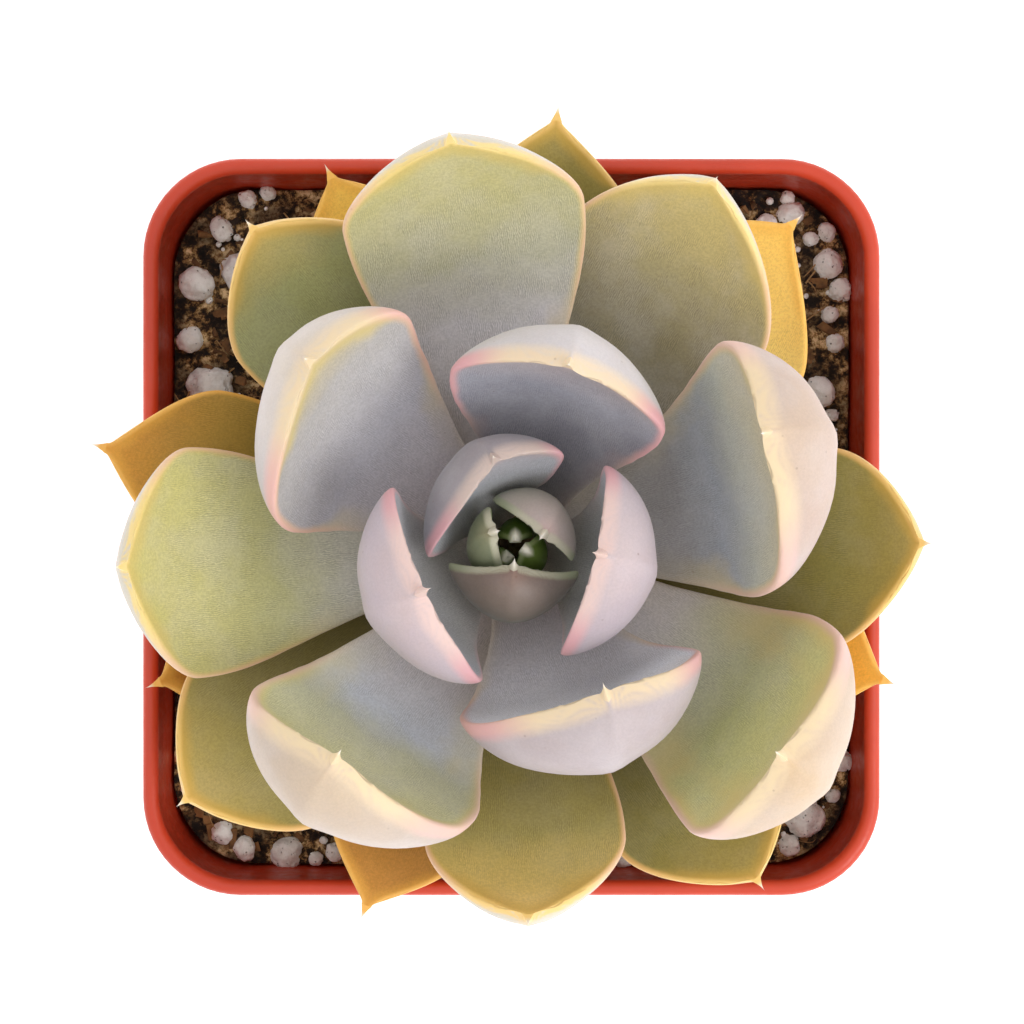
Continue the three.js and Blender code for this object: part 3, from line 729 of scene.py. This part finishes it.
def makeLeaf(index, leaf):
    r = leafRule
    small = leaf["length"] < r["small"]
    bm = bmesh.new()
    bmesh.ops.create_uvsphere(bm, u_segments=r["smallSegments"] if small else r["segments"],
                              v_segments=r["smallRings"] if small else r["rings"], radius=1.0)
    marks = {name: bm.verts.layers.float.new(name) for name in ("along", "rim", "upper", "tip", "side")}
    uvLayer = bm.loops.layers.uv.new("leafUv")
    bm.verts.index_update()
    spine = spineOf(leaf)
    rings = {}
    points = []
    for v in bm.verts:
        key = round(v.co.z, 5)
        if key not in rings:
            rings[key] = ringOf(leaf, spine, math.acos(max(-1.0, min(1.0, v.co.z))) / math.pi)
        around = math.atan2(v.co.y, v.co.x)
        points.append((rings[key], math.cos(around), math.sin(around)))
    # how far each point lies from the margin, measured on the flat outline
    shares = [i / r["outlineSteps"] for i in range(r["outlineSteps"] + 1)]
    halves = [math.hypot(halfWidthAt(leaf, s), r["mucroRadius"]) for s in shares]
    outline = np.array([(s * leaf["length"], half) for s, half in zip(shares, halves)])
    flat = np.array([(ring["s"] * leaf["length"], ring["half"] * abs(across)) for ring, across, up in points])
    away = np.sqrt(((flat[:, None, :] - outline[None, :, :]) ** 2).sum(2)).min(1)
    shift = Vector((3.7 * index, 1.9 * index, 0.0))  # no two leaves wave alike
    wave = r["wave"] * min(1.0, leaf["width"] / r["waveFull"])
    crosswise, lengthwise = r["waveScale"]
    nod = math.radians(r["mucroNod"] * leaf["hook"])
    spread = []
    for v, (ring, across, up), rim in zip(bm.verts, points, away):
        s, edge = ring["s"], ring["edge"]
        side = ring["half"] * across
        rise = ring["cup"] * ring["width"] * across ** 2
        rim = 0.0 if ring["point"] or abs(up) < 1e-4 else float(rim)
        if up < -1e-6:
            belly = max(0.0, 1 - abs(across) ** r["bellyPower"]) ** r["bellyClose"]
            rise -= edge + (ring["thick"] - edge) * belly
            keel = math.exp(-(across / r["keelWidth"]) ** 2) * smooth(s, *r["keelGrowth"])
            rise -= r["keel"] * ring["thick"] * keel
        elif edge > 0 and rim < edge:  # the margin is rounded over
            rise -= edge * (1 - math.sqrt(max(0.0, 1 - (1 - rim / edge) ** 2)))
        rise += wave * noise.noise(Vector((side * crosswise, s * leaf["length"] * lengthwise, 0)) + shift)
        along = 0.0
        if ring["point"]:
            taper = (1 - ring["point"]) ** r["mucroFlare"]
            side *= taper
            rise = mix(-r["mucroRadius"], rise, taper)
            along = leaf["tip"] * ring["point"]
        v[marks["along"]] = s
        v[marks["upper"]] = 0.5 + 0.5 * smooth(rim, 0, r["faceBlend"]) * (1 if up > 0 else -1)
        v[marks["side"]] = abs(side) / (leaf["width"] / 2)
        v[marks["tip"]] = math.hypot(side, (1 - s) * leaf["length"] + leaf["tip"] - along)
        v[marks["rim"]] = rim
        spread.append((side / r["uvSpan"] + 0.5, (s * leaf["length"] + along) / r["uvSpan"]))
        slope = ring["slope"]
        x = ring["x"] + along * math.cos(slope + nod) - rise * math.sin(slope)
        z = ring["z"] + along * math.sin(slope + nod) + rise * math.cos(slope)
        v.co = Vector((x, side + ring["sway"], z)) * mm
    for face in bm.faces:
        for loop in face.loops:
            loop[uvLayer].uv = spread[loop.vert.index]
    start = Vector((stemRadius(leaf["foot"]) + r["stand"], 0, 0)) * mm
    base = Vector((soilShape["stemX"], soilShape["stemY"], leaf["foot"])) * mm
    turn = Matrix.Rotation(math.radians(leaf["turn"]), 4, "Z")
    place = Matrix.Translation(base) @ turn @ Matrix.Translation(start)
    bmesh.ops.transform(bm, matrix=place, verts=bm.verts[:])
    bmesh.ops.recalc_face_normals(bm, faces=bm.faces[:])
    node = f"leaf_{index + 1:02d}"
    piece = newObject(f"fineLeaf{index + 1:02d}", bm, leafSkin(index + 1))
    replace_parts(piece, node)


# The looks of the leaves. upper and under run from the foot to the tip. band is the glow on the face
# beside the margin, ridge the pale margin itself, corner its colour at the leaf's shoulders, and tip the
# glow round the small point. Widths are in millimetres and shares from 0 to 1.
looks = {
    "heart": dict(
        upper=[(0, 92, 112, 52), (1, 112, 132, 66)],
        under=[(0, 78, 98, 36), (0.7, 96, 116, 50), (1, 118, 136, 72)], band=(118, 132, 76),
        bandWidth=0.6, bandShare=0.4, ridge=(176, 184, 140), corner=(126, 140, 84), ridgeWidth=0.25,
        ridgeShare=0.5, tip=(176, 180, 140), tipWidth=0.9, speck=0.1, ripple=0.3, bloom=0.05, shine=0.2),
    "bud": dict(
        upper=[(0, 150, 166, 110), (1, 160, 172, 124)],
        under=[(0, 92, 102, 70), (0.5, 108, 118, 84), (1, 122, 126, 98)], band=(150, 144, 118),
        bandWidth=1.2, bandShare=0.3, ridge=(200, 194, 174), corner=(150, 156, 128), ridgeWidth=0.45,
        ridgeShare=0.75, tip=(158, 142, 112), tipWidth=2.6, speck=0.6, ripple=0.4, bloom=0.2, shine=0.3),
    "inner": dict(
        upper=[(0, 206, 196, 184), (0.4, 196, 194, 192), (0.7, 172, 174, 180), (1, 170, 166, 172)],
        under=[(0, 150, 140, 144), (0.5, 174, 164, 174), (0.85, 190, 176, 184), (1, 198, 178, 178)],
        band=(200, 172, 170), bandWidth=2.2, bandShare=0.5, ridge=(232, 200, 190), corner=(222, 162, 168),
        ridgeWidth=0.9, ridgeShare=0.8, tip=(236, 212, 188), tipWidth=2.6, speck=0.7, ripple=0.5, bloom=0.4,
        shine=0.4),
    "cup": dict(
        upper=[(0, 212, 198, 196), (0.3, 196, 188, 190), (0.48, 192, 196, 204), (0.6, 190, 190, 160),
               (1, 204, 196, 128)],
        under=[(0, 158, 150, 148), (0.5, 190, 183, 190), (0.8, 202, 194, 196), (1, 212, 198, 182)],
        band=(222, 200, 128), bandWidth=5.0, bandShare=0.8, ridge=(234, 210, 174), corner=(228, 188, 182),
        ridgeWidth=1.1, ridgeShare=0.85, tip=(228, 200, 166), tipWidth=3.2, speck=0.5, ripple=0.7,
        bloom=0.5, shine=0.4),
    "broad": dict(
        upper=[(0, 158, 147, 144), (0.38, 174, 168, 170), (0.56, 170, 166, 140), (1, 192, 182, 118)],
        under=[(0, 160, 150, 132), (0.6, 192, 186, 178), (1, 208, 200, 184)],
        band=(222, 194, 108), bandWidth=2.4, bandShare=0.55, ridge=(246, 216, 140), corner=(236, 190, 160),
        ridgeWidth=0.6, ridgeShare=0.75, tip=(240, 196, 110), tipWidth=2.6, speck=0.25, ripple=1.0,
        bloom=0.5, shine=0.4),
    "olive": dict(
        upper=[(0, 96, 84, 38), (0.45, 122, 112, 54), (0.75, 146, 136, 70), (1, 174, 152, 76)],
        under=[(0, 130, 116, 60), (0.6, 184, 170, 132), (1, 214, 192, 146)], band=(212, 172, 78),
        bandWidth=1.9, bandShare=0.7, ridge=(242, 200, 118), corner=(232, 184, 120), ridgeWidth=0.7,
        ridgeShare=0.8, tip=(232, 170, 82), tipWidth=3.4, speck=0.2, ripple=0.8, bloom=0.2, shine=0.4),
    "gold": dict(
        upper=[(0, 140, 106, 40), (0.5, 196, 146, 58), (0.8, 230, 164, 64), (1, 238, 162, 60)],
        under=[(0, 150, 116, 50), (0.6, 200, 150, 70), (1, 232, 172, 84)], band=(240, 180, 78),
        bandWidth=1.6, bandShare=0.5, ridge=(248, 194, 104), corner=(242, 182, 92), ridgeWidth=0.5,
        ridgeShare=0.6, tip=(232, 146, 58), tipWidth=3.0, speck=0.2, ripple=0.6, bloom=0.05, shine=0.3),
}
lookCounts = [("heart", 3), ("bud", 3), ("inner", 3), ("cup", 6), ("broad", 4), ("olive", 5), ("gold", 6)]
lookOf = [name for name, count in lookCounts for _ in range(count)]
# what single leaves have of their own, by the leaf's number
ownLook = {
    1: dict(under=[(0, 42, 58, 14), (1, 66, 84, 26)]),
    2: dict(under=[(0, 42, 58, 12), (1, 66, 84, 24)]),
    3: dict(under=[(0, 64, 82, 24), (1, 92, 110, 46)]),
    5: dict(under=[(0, 112, 124, 88), (0.5, 156, 164, 140), (1, 182, 164, 160)],
        tip=(206, 168, 160)),
    6: dict(under=[(0, 96, 98, 80), (0.5, 128, 130, 118), (1, 124, 102, 92)], tip=(146, 112, 96),
        tipWidth=2.6),
    7: dict(under=[(0, 118, 120, 124), (0.5, 138, 138, 146), (1, 156, 148, 152)], bandShare=0.3,
        ridge=(206, 184, 172), tip=(204, 176, 158), tipWidth=2.2),
    10: dict(
        upper=[(0, 128, 122, 120), (0.35, 132, 130, 138), (0.7, 148, 148, 158), (1, 188, 170, 168)],
        corner=(222, 162, 168), band=(210, 174, 166), bandWidth=2.4,
        under=[(0, 150, 146, 142), (1, 204, 196, 196)]),
    11: dict(
        upper=[(0, 186, 170, 170), (0.35, 214, 210, 216), (0.7, 218, 220, 226), (1, 206, 194, 186)],
        under=[(0, 140, 132, 132), (0.6, 162, 150, 156), (1, 190, 176, 176)],
        corner=(214, 160, 162), bandWidth=1.6),
    12: dict(
        upper=[(0, 214, 200, 202), (0.5, 180, 178, 186), (0.8, 184, 180, 176), (1, 204, 188, 140)],
        corner=(232, 180, 176), bandWidth=2.8),
    13: dict(
        upper=[(0, 184, 176, 172), (0.38, 150, 148, 148), (0.52, 170, 176, 184), (0.66, 190, 192, 180),
               (1, 210, 190, 140)],
        bandWidth=3.6,
        under=[(0, 158, 148, 144), (0.5, 182, 164, 162), (0.8, 194, 172, 164), (1, 204, 180, 158)]),
    14: dict(bandWidth=4.6, band=(214, 198, 116), tip=(238, 204, 158),
        under=[(0, 158, 150, 146), (0.5, 184, 174, 174), (0.8, 194, 178, 168), (1, 206, 184, 158)]),
    15: dict(
        upper=[(0, 226, 216, 216), (0.28, 212, 206, 208), (0.42, 194, 194, 168), (0.6, 196, 198, 140),
               (1, 220, 208, 132)],
        bandWidth=6.5, tip=(240, 204, 150),
        under=[(0, 158, 150, 142), (0.5, 188, 174, 164), (0.8, 200, 176, 156), (1, 210, 182, 148)]),
    16: dict(
        upper=[(0, 166, 152, 150), (0.45, 204, 200, 202), (0.64, 178, 175, 144), (1, 200, 190, 116)]),
    17: dict(
        upper=[(0, 212, 208, 208), (0.32, 204, 201, 188), (0.5, 190, 188, 136), (1, 208, 198, 118)]),
    18: dict(
        upper=[(0, 158, 148, 134), (0.45, 138, 130, 104), (0.7, 172, 160, 116), (1, 214, 192, 120)]),
    19: dict(
        upper=[(0, 98, 80, 46), (0.45, 132, 120, 64), (0.7, 172, 158, 90), (1, 236, 200, 112)],
        band=(212, 172, 80), ridge=(240, 200, 116), ripple=0.8, bloom=0.2),
    20: dict(
        upper=[(0, 110, 106, 62), (0.45, 140, 140, 92), (0.8, 160, 160, 104), (1, 190, 166, 92)]),
    22: dict(
        upper=[(0, 108, 96, 46), (0.45, 138, 126, 68), (0.75, 164, 152, 86), (1, 190, 166, 88)]),
    25: dict(
        upper=[(0, 116, 102, 38), (0.5, 148, 132, 58), (0.8, 192, 148, 64), (1, 222, 152, 58)]),
    26: dict(upper=[(0, 222, 196, 104), (0.5, 255, 232, 146), (1, 254, 200, 92)]),
    27: dict(upper=[(0, 108, 78, 30), (0.6, 160, 114, 48), (1, 206, 144, 62)]),
    28: dict(upper=[(0, 246, 184, 74), (1, 255, 208, 96)]),
    29: dict(upper=[(0, 150, 114, 40), (0.5, 214, 160, 56), (1, 250, 176, 62)]),
    30: dict(upper=[(0, 108, 72, 18), (1, 184, 118, 38)]),
}
# What all skins share. Scales are in cells to a metre
skinRule = {
    "wobble": 240, "wobbleBend": 0.12, "wobbleBand": 0.9, "wobbleTip": 2.0, "wobbleRidge": 0.5,
    "face": (0.3, 0.7), "cloud": 140, "bloomRange": (0.35, 0.7), "bloomShare": 0.3,
    "bloomColour": (226, 224, 230), "grain": 4200, "grainRange": (0.3, 0.7), "faceGrain": (0.88, 1.1),
    "underGrain": (0.95, 1.03), "ripples": (84, 58, 1),
    "rippleNode": dict(Scale=1, Distortion=7, Detail=1.5, Detail_Scale=1.3), "breaks": 420,
    # the ripples' painted shade and painted highlight strengths are on the next line
    "breakRange": (0.35, 0.6), "rippleEnd": (0.92, 0.75, 0.15, 1.0), "rippleShade": 0.2, "rippleHighlight": 0.1,
    "marginStart": (0.3, 0.62, 0.12, 1.0), "shoulder": (0.55, 0.9, 1.0, 2.8), "bandFull": 0.2,
    "tipShare": 0.7, "tipOnFace": 0.5, "cornerRange": (0.5, 0.92), "underRidge": 2.0,
    "point": (1.1, 0.3, 0.0, 0.9), "pointColour": (255, 246, 232), "specks": 900,
    "speckRange": (0.14, 0.07), "speckZones": 350, "zoneRange": (0.58, 0.66), "speckShare": 0.55,
    "speckColour": (116, 84, 70), "roughRange": (0.3, 0.7, 0.62, 0.42),
    "soften": (0.12, (1.0, 0.7, 0.4), 0.0012), "sheen": 0.25, "sheenRoughness": 0.4, "rippleHeight": 0.7,
    "grainHeight": 0.8, "bump": (0.2, 0.00008),
}


def leafSkin(number):
    r = skinRule
    look = {**looks[lookOf[number - 1]], **ownLook.get(number, {})}
    board = Board(f"leafSkin{number:02d}")
    where = board.where
    along, rim, upper = board.attribute("along"), board.attribute("rim"), board.attribute("upper")
    tip, side = board.attribute("tip"), board.attribute("side")
    times, plus = board.times, board.plus
    wobble = board.maths("SUBTRACT", board.noise(where, r["wobble"], 3, 0.55), 0.5)
    bent = plus(along, times(wobble, r["wobbleBend"]))
    face = board.span(upper, *r["face"])
    skin = board.blend(face, board.ramp(bent, look["under"]), board.ramp(bent, look["upper"]))
    # the bloom: a pale powder, rubbed thin in places
    cloud = board.noise(where, r["cloud"], 4, 0.6)
    bloom = board.span(cloud, *r["bloomRange"], 0.0, r["bloomShare"] * look["bloom"])
    skin = board.blend(bloom, skin, paint(*r["bloomColour"]))
    grain = board.noise(where, r["grain"], 3, 0.7)
    # fine wavy ripples across the face: a bump, with painted shade in their troughs and painted highlight on
    # their crests
    ripples = board.fill("TexWave", Vector=board.uv(r["ripples"]), **r["rippleNode"]).outputs["Fac"]
    broken = board.span(board.noise(where, r["breaks"], 2, 0.5), *r["breakRange"])
    onFace = times(times(face, broken), board.span(along, *r["rippleEnd"]))
    shade = board.span(ripples, 0.1, 0.9, 1 - r["rippleShade"] * look["ripple"], 1 + r["rippleHighlight"] * look["ripple"])
    underGrain = board.span(grain, *r["grainRange"], *r["underGrain"])
    powder = board.between(face, underGrain, board.span(grain, *r["grainRange"], *r["faceGrain"]))
    shade = times(board.between(onFace, 1.0, shade), powder)
    grey = board.fill("CombineColor", Red=shade, Green=shade, Blue=shade).outputs["Color"]
    # the colour is darkened and lightened by the ripples' painted shade and highlight, and by the powder's
    # grain
    skin = board.blend(1.0, skin, grey, "MULTIPLY")
    # the glow on the face beside the margin, narrower at the shoulders
    late = board.span(along, *r["marginStart"])
    wide = times(rim, board.span(side, *r["shoulder"]))
    reach = plus(wide, times(wobble, r["wobbleBand"] * look["bandWidth"]))
    glow = board.span(reach, look["bandWidth"], r["bandFull"] * look["bandWidth"], 0.0, look["bandShare"])
    skin = board.blend(times(times(glow, late), face), skin, paint(*look["band"]))
    patch = board.span(plus(tip, times(wobble, r["wobbleTip"])), look["tipWidth"], 0.0, 0.0, r["tipShare"])
    patch = times(patch, board.span(face, 0.0, 1.0, 1.0, r["tipOnFace"]))
    skin = board.blend(patch, skin, paint(*look["tip"]))
    # the blunt edge falls off steeply below the margin, so that the ridge is drawn in there
    edge = board.blend(board.span(side, *r["cornerRange"]), paint(*look["ridge"]), paint(*look["corner"]))
    drawnIn = times(rim, board.span(face, 0.0, 1.0, r["underRidge"], 1.0))
    nearEdge = plus(drawnIn, times(wobble, r["wobbleRidge"] * look["ridgeWidth"]))
    line = board.span(nearEdge, look["ridgeWidth"], 0.0, 0.0, look["ridgeShare"])
    skin = board.blend(times(line, late), skin, edge)
    skin = board.blend(board.span(tip, *r["point"]), skin, paint(*r["pointColour"]))
    # small brown specks
    speck = board.span(board.voronoi(where, r["specks"]), *r["speckRange"])
    zone = board.span(board.noise(where, r["speckZones"], 2, 0.5), *r["zoneRange"])
    share = times(times(speck, zone), r["speckShare"] * look["speck"])
    board.colour(board.blend(share, skin, paint(*r["speckColour"])))
    board.plug(board.shader.inputs["Roughness"], board.span(cloud, *r["roughRange"]))
    board.shader.inputs["Specular IOR Level"].default_value = look["shine"]
    board.soften(*r["soften"])
    board.shader.inputs["Sheen Weight"].default_value = r["sheen"] * look["bloom"]
    board.shader.inputs["Sheen Roughness"].default_value = r["sheenRoughness"]
    ridges = times(times(ripples, onFace), r["rippleHeight"] * look["ripple"])
    board.bump(plus(ridges, times(grain, r["grainHeight"])), *r["bump"])
    return board.material


print("pot")
makePot()
print("soil and perlite")
makeSoil()
makeSoilBits()
makePerlite()
print("stem")
makeStem()
print("leaves")
for number, shape in enumerate(leafShapes):
    makeLeaf(number, shape)

# Floor, light and camera
print("studio")
studio = {
    "floor": 1.6, "floorDrop": 0.0001, "floorGrey": 0.9, "floorGlow": 0.5, "sky": 1.0,
    "lamp": 4.0, "lampSize": 0.6, "lampPlace": (0.62, -0.38, 0.72), "lampAim": (0, 0, 0.06),
    "lens": 166.7, "sensor": 36, "cameraPlace": (0.00006, 0.00142, 0.512),
}

bm = bmesh.new()
bmesh.ops.create_grid(bm, x_segments=1, y_segments=1, size=studio["floor"])
floorMesh = bpy.data.meshes.new("floor")
bm.to_mesh(floorMesh)
bm.free()
floor = bpy.data.objects.new("floor", floorMesh)
scene.collection.objects.link(floor)
floorBoard = Board("paleFloor", 0.8)
floorBoard.shader.inputs["Base Color"].default_value = (*[studio["floorGrey"]] * 3, 1)
floorBoard.shader.inputs["Emission Color"].default_value = (1, 1, 1, 1)
floorBoard.shader.inputs["Emission Strength"].default_value = studio["floorGlow"]
floorMesh.materials.append(floorBoard.material)
floor.location.z = -studio["floorDrop"]

world = bpy.data.worlds.new("softRoom")
scene.world = world
world.use_nodes = True
world.node_tree.nodes["Background"].inputs["Color"].default_value = (1, 1, 1, 1)
world.node_tree.nodes["Background"].inputs["Strength"].default_value = studio["sky"]

lamp = bpy.data.lights.new("softBox", "AREA")
lamp.energy = studio["lamp"]
lamp.size = studio["lampSize"]
lampObject = bpy.data.objects.new("softBox", lamp)
scene.collection.objects.link(lampObject)
lampObject.location = studio["lampPlace"]
towards = Vector(studio["lampAim"]) - lampObject.location
lampObject.rotation_euler = towards.to_track_quat("-Z", "Y").to_euler()

cameraData = bpy.data.cameras.new("camera")
cameraData.lens = studio["lens"]
cameraData.sensor_width = studio["sensor"]
cameraObject = bpy.data.objects.new("camera", cameraData)
scene.collection.objects.link(cameraObject)
cameraObject.location = studio["cameraPlace"]
scene.camera = cameraObject
scene.view_settings.view_transform = "Standard"
